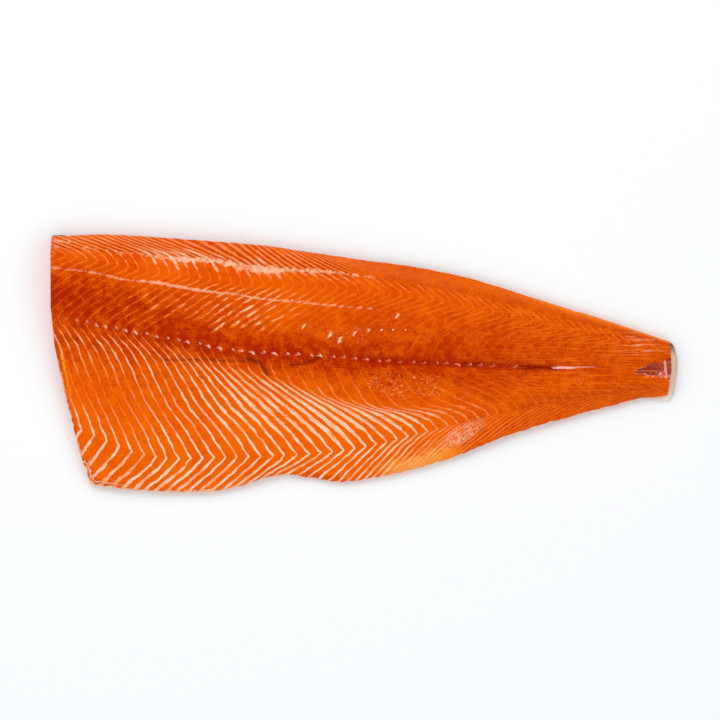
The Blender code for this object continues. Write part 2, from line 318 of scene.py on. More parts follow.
def courses(layers, across):
    """X and Y of the muscle layers at places across them, a row for each layer."""
    numbers = sorted(LAYERS)
    xs = np.empty((len(layers), len(MARKS)))
    ys = np.empty((len(layers), len(MARKS)))
    for mark in MARKS[1:-1]:
        xs[:, mark] = smooth([(n, LAYERS[n][mark - 1][0]) for n in numbers], layers)
        ys[:, mark] = smooth([(n, LAYERS[n][mark - 1][1]) for n in numbers], layers)
    belly_ends = [(n, LAYERS[n][8]) for n in numbers]
    for mark, ends, edge in ((0, BACK_ENDS, BACK_EDGE), (LAST_MARK, belly_ends, BELLY_EDGE)):
        xs[:, mark] = smooth(ends, layers)
        ys[:, mark] = smooth(edge, xs[:, mark])
    softness = np.interp(across, MARKS, BEND_SOFTNESS)
    span = np.clip(np.floor(across).astype(int), 0, LAST_MARK - 1)
    straight = xs[:, span] + (across - span) * (xs[:, span + 1] - xs[:, span])
    return straight + softness * (steady(xs, across) - straight), steady(ys, across)


def window(value, ends, softness=3):
    """1 between the two ends, easing to 0 within the softness."""
    inside = np.clip(np.minimum(value - ends[0], ends[1] - value) / softness, 0, 1)
    return inside * inside * (3 - 2 * inside)


def turn_up(x, y):
    """How far the underside stands off the table near the back edge."""
    inward = np.clip((smooth(BACK_EDGE, x) - y) / TURN_UP_REACH, 0, 1)
    return smooth(TURN_UP, x) * (1 - inward) ** 2


def along(points, x, y):
    """Distance of each place from a course of points."""
    nearest = np.full(x.shape, 1e6)
    for (ax, ay), (bx, by) in zip(points, points[1:]):
        dx, dy = bx - ax, by - ay
        share = np.clip(((x - ax) * dx + (y - ay) * dy) / (dx * dx + dy * dy), 0, 1)
        nearest = np.minimum(nearest, np.hypot(x - ax - share * dx, y - ay - share * dy))
    return nearest


def ripple(x, y, size, seed):
    """Smooth unevenness between about -1 and 1, its lumps about the given size."""
    flat = [noise.noise(Vector((a / size, b / size, seed))) for a, b in zip(x.ravel(), y.ravel())]
    return 1.6 * np.array(flat).reshape(x.shape)


class Wire:
    """One output of a node, used in plain expressions that add their own math nodes."""

    def __init__(self, paint, socket):
        self.paint = paint
        self.socket = socket

    def math(self, operation, *values):
        return self.paint.node("Math", {"operation": operation}, *values)

    def __add__(self, other):
        return self.math("ADD", self, other)

    def __radd__(self, other):
        return self.math("ADD", other, self)

    def __sub__(self, other):
        return self.math("SUBTRACT", self, other)

    def __rsub__(self, other):
        return self.math("SUBTRACT", other, self)

    def __mul__(self, other):
        return self.math("MULTIPLY", self, other)

    def __rmul__(self, other):
        return self.math("MULTIPLY", other, self)

    def __truediv__(self, other):
        return self.math("DIVIDE", self, other)

    def __rtruediv__(self, other):
        return self.math("DIVIDE", other, self)

    def __pow__(self, other):
        return self.math("POWER", self, other)

    def __abs__(self):
        return self.math("ABSOLUTE", self)

    def least(self, other):
        return self.math("MINIMUM", self, other)

    def most(self, other):
        return self.math("MAXIMUM", self, other)

    def nearest(self):
        """The nearest whole number."""
        return self.math("ROUND", self)

    def past_nearest(self):
        """How far it is past the nearest whole number, from -0.5 to 0.5."""
        return self.math("FRACT", self + 0.5) - 0.5

    def apart(self):
        """Distance from the nearest whole number."""
        return abs(self.past_nearest())

    def ramp(self, low, high):
        """0 at low and 1 at high, eased between them."""
        settings = {"interpolation_type": "SMOOTHSTEP"}
        return self.paint.node("MapRange", settings, **{"Value": self, "From Min": low, "From Max": high})


class Paint:
    """A material's nodes, made from Python expressions."""

    def __init__(self, name, **surface):
        self.material = bpy.data.materials.new(name)
        self.material.use_nodes = True
        self.tree = self.material.node_tree
        self.surface = self.tree.nodes["Principled BSDF"]
        for socket, value in surface.items():
            self.surface.inputs[socket.replace("_", " ")].default_value = value

    def node(self, kind, settings=None, *ordered, out=None, **named):
        """A node of a kind with its settings, then its sockets by order or by name."""
        made = self.tree.nodes.new("ShaderNode" + kind)
        for key, value in (settings or {}).items():
            setattr(made, key, value)
        usable = [socket for socket in made.inputs if socket.enabled]
        by_name = {socket.name: socket for socket in reversed(usable)}
        pairs = [*zip(usable, ordered), *((by_name[name], value) for name, value in named.items())]
        for socket, value in pairs:
            if isinstance(value, Wire):
                self.tree.links.new(value.socket, socket)
            else:
                socket.default_value = value
        outputs = [socket for socket in made.outputs if socket.enabled]
        chosen = next((socket for socket in outputs if socket.name == out), outputs[0])
        return Wire(self, chosen)

    def attribute(self, name):
        return self.node("Attribute", {"attribute_name": name}, out="Fac")

    def place(self):
        return self.node("TexCoord", out="Object")

    def axes(self, names="XYZ"):
        """Places on the piece in millimetres, one for each axis."""
        place = self.place()
        return [self.node("SeparateXYZ", None, place, out=axis) * 1000 for axis in names]

    def attributes(self, *names):
        return [self.attribute(name) for name in names]

    def vector(self, x, y, z=0.0):
        return self.node("CombineXYZ", None, x, y, z)

    def noise(self, vector, scale, detail=3.0, roughness=0.5, distortion=0.0):
        sockets = {"Vector": vector, "Scale": scale, "Detail": detail, "Roughness": roughness}
        return self.node("TexNoise", None, out="Fac", Distortion=distortion, **sockets)

    def chance(self, number):
        """A random value from 0 to 1 for each number."""
        return self.node("TexWhiteNoise", {"noise_dimensions": "1D"}, out="Value", W=number)

    def mix(self, factor, first, second):
        """Colour between two, the first where the factor is 0."""
        return self.node("Mix", {"data_type": "RGBA"}, Factor=factor, A=first, B=second, out="Result")

    def finish(self, height, **sockets):
        """Links what varies to the surface, and a height in millimetres to its bumps."""
        for name, wire in sockets.items():
            self.tree.links.new(wire.socket, self.surface.inputs[name.replace("_", " ")])
        bump = self.node("Bump", None, Strength=1.0, Distance=MM, Height=height)
        self.tree.links.new(bump.socket, self.surface.inputs["Normal"])
        return self.material


def colour(values):
    return (*values, 1.0)


def blob(x, y, centre, radii, turn=0.0):
    """Distance from a centre in units of an ellipse's radii, turned by an angle."""
    cos, sin = np.cos(turn), np.sin(turn)
    across_x = (x - centre[0]) * (cos / radii[0]) + (y - centre[1]) * (sin / radii[0])
    across_y = (y - centre[1]) * (cos / radii[1]) - (x - centre[0]) * (sin / radii[1])
    return (across_x * across_x + across_y * across_y) ** 0.5


class SalmonSizes(bpy.types.PropertyGroup):
    """Sizes of the salmon side."""

    skin_thickness: bpy.props.FloatProperty(
        name="Skin thickness", description="Thickness of the skin under the flesh",
        default=0.0008, unit="LENGTH",
    )
    groove: bpy.props.FloatProperty(
        name="Seam relief", description="How much the muscle layers stand in relief",
        default=FULL_RELIEF, unit="LENGTH",
    )
    swell: bpy.props.FloatProperty(
        name="Swell", description="Height of the broad swells of the flesh",
        default=0.00045, unit="LENGTH",
    )


class SalmonColours(bpy.types.PropertyGroup):
    """Colours of the salmon side."""

    muscle: bpy.props.FloatVectorProperty(
        name="Muscle", description="Orange of the main muscle",
        default=(0.785, 0.087, 0.0008), subtype="COLOR",
    )
    dark: bpy.props.FloatVectorProperty(
        name="Dark meat", description="Red of the dark meat",
        default=(0.42, 0.016, 0.0003), subtype="COLOR",
    )
    fat: bpy.props.FloatVectorProperty(
        name="Fat", description="Pale fat between the muscle layers",
        default=(1.0, 0.61, 0.38), subtype="COLOR",
    )
    seam: bpy.props.FloatVectorProperty(
        name="Seam", description="Thin light seams",
        default=(0.97, 0.2, 0.009), subtype="COLOR",
    )
    skin_back: bpy.props.FloatVectorProperty(
        name="Skin, back", description="Skin along the back",
        default=(0.035, 0.05, 0.06), subtype="COLOR",
    )
    skin_belly: bpy.props.FloatVectorProperty(
        name="Skin, belly", description="Skin along the belly",
        default=(0.62, 0.64, 0.63), subtype="COLOR",
    )


def deselect_all():
    if bpy.context.mode != "OBJECT":
        bpy.ops.object.mode_set(mode="OBJECT")
    bpy.ops.object.select_all(action="DESELECT")


def grid_piece(name, columns, rows):
    """A flat grid with a point for each column and row, ready to be placed."""
    deselect_all()
    bpy.ops.mesh.primitive_grid_add(x_subdivisions=columns - 1, y_subdivisions=rows - 1, size=1)
    piece = bpy.context.object
    piece.name = name
    piece.data.name = name
    if len(piece.data.vertices) != columns * rows:
        raise RuntimeError(f"{name}: {len(piece.data.vertices)} points for {columns} by {rows}")
    return piece


def place_points(piece, x, y, z):
    """Moves the grid's points to rows of places in millimetres, a row for each step across."""
    points = np.stack([x.T, y.T, z.T], axis=-1) * MM
    piece.data.vertices.foreach_set("co", points.reshape(-1).astype(np.float32))
    piece.data.update()


def add_attribute(piece, name, values):
    """Stores a value for each point, for the material to read."""
    made = piece.data.attributes.new(name, "FLOAT", "POINT")
    made.data.foreach_set("value", values.T.reshape(-1).astype(np.float32))


def trim(head_course, tail_course):
    """Cuts both ends of the selected piece along bulging courses and closes them with flat faces."""
    bpy.ops.object.mode_set(mode="EDIT")
    for course, keep in ((head_course, 1), (tail_course, -1)):
        for (ax, ay), (bx, by) in zip(course, course[1:]):
            bpy.ops.mesh.select_all(action="SELECT")
            side = Vector((ay - by, bx - ax, 0)).normalized() * keep
            bpy.ops.mesh.bisect(plane_co=(ax * MM, ay * MM, 0), plane_no=side, clear_inner=True)
    bpy.ops.mesh.select_all(action="SELECT")
    bpy.ops.mesh.fill_holes(sides=0)
    bpy.ops.mesh.select_face_by_sides(number=4, type="GREATER", extend=False)
    bpy.ops.mesh.quads_convert_to_tris(quad_method="BEAUTY", ngon_method="BEAUTY")
    bpy.ops.object.mode_set(mode="OBJECT")


def face_outward():
    """Joins points that lie together on the selected piece and turns its faces outward."""
    bpy.ops.object.mode_set(mode="EDIT")
    bpy.ops.mesh.select_all(action="SELECT")
    bpy.ops.mesh.remove_doubles(threshold=0.00001)
    bpy.ops.mesh.normals_make_consistent(inside=False)
    bpy.ops.object.mode_set(mode="OBJECT")


def rest_on_body(piece, node):
    """Hangs the piece on the root body and hides the part's node that it stands for."""
    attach(piece, "root")
    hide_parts(node)


def flesh_material(colours):
    """The meat as seen from above and on its two long sides."""
    paint = Paint("raw_flesh", **WET)
    layer, across, spacing = paint.attributes("layer", "across", "spacing")
    strength, width, dark = paint.attributes("seam_strength", "seam_width", "dark_meat")
    fat_line, white_line, bone_line = paint.attributes("fat_line", "white_line", "bone_line")
    bones, crease_shade, lip_line = paint.attributes("bone_count", "crease_shade", "lip_line")
    place = paint.place()
    x, y = paint.axes("XY")

    # Unevenness from broad blotches down to specks, and fibres that run from seam to seam.
    broad = paint.noise(place, 28, 3).ramp(0.3, 0.7)
    lumps = paint.noise(place, 140, 3).ramp(0.3, 0.7)
    fine = paint.noise(place, 420, 3, 0.6).ramp(0.3, 0.7)
    specks = paint.noise(place, 950, 2, 0.6).ramp(0.3, 0.7)
    fibre = paint.noise(paint.vector(layer * 1.3, across * 42), 1, 4, 0.65).ramp(0.3, 0.7)
    patchy = paint.noise(paint.vector(layer * 2.3, across * 4, 3.0), 1, 3).ramp(0.32, 0.68)

    # Pale seams between the muscle layers, uneven in width and strength, each edged by a thin line of painted
    # shade that is stronger on its far side.
    bent = layer + (lumps - 0.5) * 0.07
    chance = paint.chance(bent.nearest())
    beside = bent.past_nearest() * spacing
    half_width = (width * (patchy * 0.35 + fine * 0.25 + 0.25)).least(spacing * (width * 0.022 + 0.17))
    thick = blob(x, y, (-24, -65), (20, 9), -0.62).ramp(1.1, 0.3)
    half_width = half_width + thick * (chance * 0.5 + 0.45)
    core = abs(beside).ramp(half_width + 0.4, half_width - 0.25)
    broken = (across - 3.8 - chance * 0.6).ramp(0.3, 0.0).most(across.ramp(5.0, 5.3))
    broken = broken.most(x.ramp(-175, -195)).most(x.ramp(-40, -10))
    streaky = x.ramp(-265, -235) * across.ramp(2.9, 3.1) * across.ramp(5.0, 4.8)
    blotchy = paint.noise(paint.vector(layer * 1.9, across * 5, 7.0), 1, 2).ramp(0.42, 0.58)
    firm = strength * (patchy * 0.5 + 0.55) * (chance * 0.4 + 0.8) * broken
    firm = firm * (1 - streaky * (1 - blotchy) * 0.75)
    soft_seam = core * (firm * 2.6).least(1.0)
    back_band = across.ramp(1.12, 0.95)
    pale_seam = core * (firm * 1.75 - 0.52).most(0.0).least(1.0) * (1 - back_band * 0.9)
    pale_seam = pale_seam * (1 - x.ramp(50, 100) * 0.5)
    halo = abs(beside).ramp(half_width + 1.6, half_width) * firm
    # Painted shade: a thin dark line along each seam, full on its far side and half on its near side.
    seam_shade = abs(abs(beside) - half_width - 0.55).ramp(0.75, 0.2) * (firm * 1.2 - 0.15).most(0.0)
    seam_shade = seam_shade * (beside.ramp(-0.4, 0.4) * 0.5 + 0.5)

    # The rolled lip hides the ends of the seams.
    lip_line = lip_line + (lumps - 0.5) * 2 + (fine - 0.5)
    roll = x.ramp(-205, -232)
    pale_seam = pale_seam * (1 - lip_line.ramp(7, 5) * roll * 0.85)
    # Painted shade in the folds of the rolled lip.
    fold_shade = abs(lip_line - 2.6).ramp(1.0, 0.3).most(abs(lip_line - 5.8).ramp(1.0, 0.3) * 0.7) * roll

    # Fine lines along the back, light and dark by turns; the dark ones are painted shade of the fine grooves
    # between the light seams.
    bold = x.ramp(10, -70)
    finer = (layer + (lumps - 0.5) * 0.12 + (fine - 0.5) * 0.16).apart() * 2
    light_line = finer.ramp(0.6, 0.2) * back_band * (bold * 0.4 + 0.6)
    painted_line_shade = finer.ramp(0.45, 0.8) * back_band * (bold * 0.45 + 0.3)
    painted_line_shade = painted_line_shade * (across.ramp(0.1, 0.5) * 0.6 + 0.4)

    # Lumpy fat band, thin white line and the row of pin bone ends.
    gobs = paint.noise(place, 240, 2, 0.6).ramp(0.35, 0.6)
    fat_band = (fat_line + (lumps - 0.5) * 2.4 + (fine - 0.5) * 1.8).ramp(0.6, -1.0)
    fat_band = fat_band * (gobs * 0.6 + fine * 0.3 + 0.15)
    fat_band = fat_band * x.ramp(20, -10) * (x.ramp(-290, -190) * 0.5 + 0.5)
    spill = (fat_line - 3 - chance * 3).ramp(2.5, -1.5) * abs(beside).ramp(1.7, 0.5) * (chance * patchy * 1.6)
    spill = spill * x.ramp(-215, -190) * x.ramp(-60, -85)
    white = (white_line + (fine - 0.5) * 1.2 + (lumps - 0.5) * 0.8).ramp(0.35, -0.45)
    white = white * (patchy * 0.35 + fine * 0.35 + 0.3)
    dash = layer.apart().ramp(0.34, 0.12)
    white = white * (1 - (1 - dash) * x.ramp(-50, -20) * 0.9)
    white = white * x.ramp(90, 20) * (x.ramp(-290, -190) * 0.5 + 0.5)
    nearest_bone = bones.nearest()
    big, shift = paint.chance(nearest_bone + 0.3), paint.chance(nearest_bone + 40.7)
    small = x.ramp(-45, 10)
    bone_x = (bones - nearest_bone) * 10 + (shift - 0.5) * 2.4
    bone_y = bone_line + (big - 0.5) * 1.6 + bone_x * 0.5
    bone_size = (big * 0.8 + 0.6) * (1 - small * 0.25) + (fine - 0.5) * 0.9
    bone = ((bone_x * bone_x * 0.7 + bone_y * bone_y) ** 0.5 - bone_size).ramp(0.45, -0.35)
    thread = (abs(bone_line + 1.2 - shift) * 1.6 + abs(bone_x + 1.8) * 0.45).ramp(1.6, 0.7) * shift
    in_row = bones.ramp(-0.6, 0.8) * bones.ramp(41.6, 41.4) * (shift * 0.35 + 0.65)
    in_row = in_row * (bones.ramp(0, 7) * 0.4 + 0.6)
    bone = bone.most(thread * 0.6) * in_row

    # Meat: orange, dark red where it is deep, with fibres and blotches.
    mottle = (broad - 0.5) * 0.2 + (lumps - 0.5) * (dark * 0.5 + 0.12) + (fibre - 0.5) * 0.3
    mottle = mottle + (fine - 0.5) * 0.26 + (specks - 0.5) * (dark * 0.3 + 0.3)
    # Darker red along the pin-bone groove: partly the dark meat there, partly painted shade of the groove.
    groove = (abs(bone_line) + (fine - 0.5) * 1.5).ramp(5.5, 1.5) * x.ramp(-45, 10) * x.ramp(215, 180)
    # The red also takes in the painted shade beside the seams.
    red = (dark + mottle + groove * 0.3 + seam_shade * 0.45).most(0.0).least(1.0)
    muscle = paint.mix(red, colour(colours.muscle), colour(colours.dark))
    belly = (across + x.ramp(-70, 0) * 0.6).ramp(5.7, 7.2) * x.ramp(140, 40) * 0.7
    muscle = paint.mix(belly * (1 - red), muscle, BELLY_ORANGE)
    net = blob(x, y, (42, -20), (60, 13), -0.12).ramp(1.15, 0.5)
    yellow = net * 0.35 + (1 - lumps) * 0.3 + (1 - fibre) * 0.5 + (1 - broad) * 0.4 - 0.4
    yellow = yellow.most(0.0).least(1.0)
    muscle = paint.mix(yellow * (1 - red) * 0.6, muscle, YELLOW)
    thin = paint.noise(paint.vector(x * 0.03, y * 0.85 + layer * 0.05), 1, 3, 0.6)
    tail_lines = x.ramp(60, 190) * across.ramp(1.0, 1.2) * across.ramp(8.6, 8.4)
    # Painted shade of the fine grooves along the back, together with thin dark lines near the tail.
    line_shade_and_tail_streaks = painted_line_shade.most(thin.ramp(0.5, 0.4) * tail_lines * 0.3)
    muscle = paint.mix(line_shade_and_tail_streaks, muscle, DARK_STREAK)
    core_line = (abs(bone_line + 0.6) + (fine - 0.5) * 1.6 + (lumps - 0.5) * 1.4).ramp(2.9, 1.0)
    core_line = core_line * x.ramp(-40, 10) * x.ramp(195, 178) * (lumps * 0.3 + 0.7)
    blood = (x.ramp(134, 144) * x.ramp(180, 170)).most(x.ramp(84, 92) * x.ramp(108, 101) * 0.8)
    blood = blood * (abs(bone_line + 0.5) + (fine - 0.5) * 1.6).ramp(2.8, 1.0)
    cut_line = paint.attribute("cut_line") + (lumps - 0.5) * 1.2 + (fine - 0.5) * 0.8
    # Painted shade along the rounded edge of the head cut.
    cut_edge_shade = cut_line.ramp(3.4, 1.6) * y.ramp(30, 5) * y.ramp(-90, -70) * (lumps * 0.3 + 0.2)
    strand = abs(cut_line - 4.7).ramp(1.4, 0.4) * y.ramp(22, 10) * y.ramp(-40, -10) * (lumps * 0.5 + 0.5)
    # Painted shade in small nicks along the belly edge.
    nick_shade = across.ramp(8.86, 8.95) * fine.ramp(0.4, 0.7) * x.ramp(78, 90) * x.ramp(122, 112)
    # Deep red: the dark core along the bones, plus the painted shade at the head cut's edge.
    muscle = paint.mix((core_line * 0.9).most(cut_edge_shade), muscle, DEEP_RED)
    # Painted shade in the creases, the nicks and the lip folds.
    muscle = paint.mix(crease_shade.most(nick_shade).most(fold_shade * 0.75) * 0.85, muscle, CREASE_SHADE)
    muscle = paint.mix(blood * 0.8, muscle, BLOOD)
    rear_edge = (across + (lumps - 0.5) * 0.2).ramp(8.5, 8.85) * x.ramp(5, 35) * x.ramp(92, 75)
    rear_edge = rear_edge.most(across.ramp(0.35, 0.12) * x.ramp(120, 200) * 0.6).most(strand)
    muscle = paint.mix(rear_edge * (lumps * 0.25 + 0.7), muscle, AMBER)
    tail_edge = across.ramp(0.7, 0.1) * x.ramp(60, 170) * (lumps * 0.4 + 0.3)
    muscle = paint.mix((halo * 0.3).most(tail_edge), muscle, HALO)
    light = soft_seam.most(thin.ramp(0.53, 0.6) * tail_lines * 0.5) * 0.8 * (1 - back_band)
    muscle = paint.mix(light, muscle, colour(colours.seam))
    muscle = paint.mix(light_line * 0.8, muscle, LIGHT_STREAK)

    # Torn membrane at the tail with painted highlights on its rims, pale flecks and marks, streaks of fat,
    # the rolled pale lip of the belly, and two painted highlights along the pin-bone groove.
    wedge = (x - 243) / 30
    torn = abs(y + 8.5 - wedge * 4.5) / (wedge.most(0.05) * 7 + 1.4)
    torn = torn + (lumps - 0.5) * 0.9 + (fine - 0.5) * 0.4
    membrane = torn.ramp(1.1, 0.75) * wedge.ramp(0.0, 0.15)
    # Painted highlights on the rims of the torn membrane.
    rims = abs(torn - 0.95).ramp(0.2, 0.03) * wedge.ramp(-0.05, 0.1) * y.ramp(2, -8) * gobs
    last_rim_highlight = (abs(x - 271 + y * 0.1) + (fine - 0.5) * 1.5).ramp(1.2, 0.4)
    rims = rims.most(last_rim_highlight * y.ramp(4, 1) * y.ramp(-14, -12))
    tail_streaks = thin.ramp(0.55, 0.62) * x.ramp(222, 245) * y.ramp(6, 10) * (fine * 0.6 + 0.4)
    curls = abs(paint.noise(place, 170, 2, 0.6, 0.9) - 0.5).ramp(0.05, 0.015) * fine.ramp(0.25, 0.7)
    upper = blob(x, y, (-8, 26), (50, 9), -0.1).ramp(1.15, 0.5)
    tail_net = blob(x, y, (197, -15), (10, 4)).ramp(1.2, 0.6)
    flecks = curls * (net + upper * 0.55 + tail_net * 0.6).least(1.0) * lumps.ramp(0.25, 0.6)
    surface = paint.mix(flecks, muscle, colour(colours.seam))
    flecks = flecks * specks.ramp(0.5, 0.8) * 0.6
    marks = blob(x, y, *PALE_MARKS[0])
    for mark in PALE_MARKS[1:]:
        marks = marks.least(blob(x, y, *mark))
    flecks = flecks.most((marks + (fine - 0.5) * 0.9).ramp(1.15, 0.7))
    fray = blob(x, y, (89, -63.5), (23, 8), 0.56).ramp(1.2, 0.6)
    strokes = abs(paint.noise(place, 230, 2, 0.5, 1.6) - 0.5).ramp(0.07, 0.02)
    frayed = strokes.most((gobs * lumps).ramp(0.55, 0.8)) * fray
    lip = lip_line.ramp(2.0, 1.2).most(abs(lip_line - 4.2).ramp(1.2, 0.4) * roll * 0.8)
    lip = lip * (gobs * 0.5 + 0.5)
    lip = lip.most(cut_line.ramp(1.5, 0.5) * y.ramp(15, -15) * (gobs * 0.5 + 0.25))
    lip = lip.most(across.ramp(8.86, 8.96) * fine * lumps * x.ramp(-135, -120) * x.ramp(-85, -100))
    corner = blob(x, y, (-271, 110.5), (9, 2.2), -0.1).ramp(1.2, 0.7) * across.ramp(0.15, 0.4)
    # Two painted highlights along the pin-bone groove.
    painted_glint = (blob(x, y, (180, -4.0), (11, 1.1)) + (fine - 0.5) * 0.5).ramp(1.25, 0.7)
    painted_glint = painted_glint.most(blob(x, y, (196, -3.4), (14, 0.6)).ramp(1.2, 0.6) * 0.5)

    pale = pale_seam.most(light_line * bold * (patchy * 0.2 + 0.01)).most(fat_band * 0.82).most(spill * 0.8)
    pale = pale.most(white * 0.75).most(bone * (0.8 - small * 0.65)).most(flecks * 0.75).most(frayed * 0.55)
    pale = pale.most(lip * 0.85).most(tail_streaks * 0.5).most(corner * gobs * 0.6).least(1.0)
    membrane_shade = paint.mix(thin.ramp(0.4, 0.6) * fine, MEMBRANE_DARK, MEMBRANE_LIGHT)
    surface = paint.mix(membrane * 0.8, surface, membrane_shade)
    surface = paint.mix(bone * small, surface, BONE_PINK)
    surface = paint.mix(pale, surface, colour(colours.fat))
    # Painted highlights over the membrane rims and along the groove.
    surface = paint.mix((rims * 0.7).most(painted_glint), surface, PAINTED_HIGHLIGHT)

    rough = 0.42 - fine * 0.14 + pale * 0.06 - broad * 0.1
    height = fibre * 0.015 + lumps * 0.3 + fine * 0.07 - core * 0.1
    height = height + fat_band * 0.3 + bone * 0.15 + flecks * 0.05
    return paint.finish(height, Base_Color=surface, Roughness=rough)


def cut_material(colours):
    """The meat on the two cut ends."""
    paint = Paint("cut_flesh", **WET)
    place = paint.place()
    y, z = paint.axes("YZ")

    # Rings around the upper and the lower muscle, pale between them, and fat next to the skin.
    lumps = paint.noise(place, 110, 3)
    fine = paint.noise(place, 500, 3)
    upper = ((y - 62) * (y - 62) + (z - 9) * (z - 9) * 6) ** 0.5
    lower = ((y + 10) * (y + 10) + (z - 2) * (z - 2) * 16) ** 0.5
    rings = (upper.least(lower) / 5.2 + lumps * 0.5).apart() * 5.2
    seam = rings.ramp(0.95, 0.35) * (lumps * 0.8 + 0.25)
    deep = (z * 0.12 + fine).ramp(1.2, 0.4)
    muscle = paint.mix(deep * 0.6, colour(colours.muscle), colour(colours.dark))
    fat_layer = (z + lumps * 1.4).ramp(2.6, 1.7)
    muscle = paint.mix((seam * 0.75).least(1.0), muscle, CUT_SEAM)
    surface = paint.mix(fat_layer * 0.8, muscle, colour(colours.fat))
    height = lumps * 0.4 + fine * 0.2 - seam * 0.2
    return paint.finish(height, Base_Color=surface, Roughness=0.38 + fine * 0.12)


def skin_material(colours):
    """Scaly outside, and the bare inside that shows at the tail."""
    paint = Paint("fish_skin", Specular_IOR_Level=0.6, IOR=1.42)
    back, inner, edge = paint.attributes("from_back", "inner", "tail_rim")
    place = paint.place()
    x, y = paint.axes("XY")

    # Outside: scales, dark along the back with spots, and a lateral line.
    lumps = paint.noise(place, 60, 3)
    fine = paint.noise(place, 600, 2)
    grain = paint.vector(x * 0.3, y * 0.42)
    rims = {"feature": "DISTANCE_TO_EDGE"}
    scales = paint.node("TexVoronoi", rims, Vector=grain, Scale=1.0, out="Distance")
    scale_rim = scales.ramp(0.12, 0.02)
    spots = paint.node("TexVoronoi", {"feature": "F1"}, Vector=place, Scale=48.0, out="Distance")
    spot = (spots + fine * 0.1).ramp(0.3, 0.2) * (back + lumps * 0.2).ramp(0.5, 0.3)
    shade = (back + (lumps - 0.5) * 0.25).ramp(0.1, 0.6)
    body = paint.mix(shade, colour(colours.skin_back), colour(colours.skin_belly))
    body = paint.mix(scale_rim * 0.35, body, SCALE_RIM)
    body = paint.mix(spot * 0.85, body, SPOT)
    lateral = abs(back - 0.5).ramp(0.012, 0.004)
    body = paint.mix(lateral * 0.5, body, LATERAL_LINE)

    # Inside: the bare film that shows past the flesh at the tail.
    film = paint.mix(y.ramp(6, 17), FILM, FILM_BACK)
    film = paint.mix(y.ramp(-16, -30), film, FILM_BELLY)
    film = paint.mix(edge * (y.ramp(-20, 10) * 0.35 + 0.25), film, FILM_RIM)
    surface = paint.mix(inner, body, film)
    metal = (1 - inner) * (1 - spot) * 0.35
    height = scale_rim * -0.15 * (1 - inner) + fine * 0.06 + lumps * 0.2
    rough = 0.3 + fine * 0.15 + scale_rim * 0.1
    return paint.finish(height, Base_Color=surface, Roughness=rough, Metallic=metal)


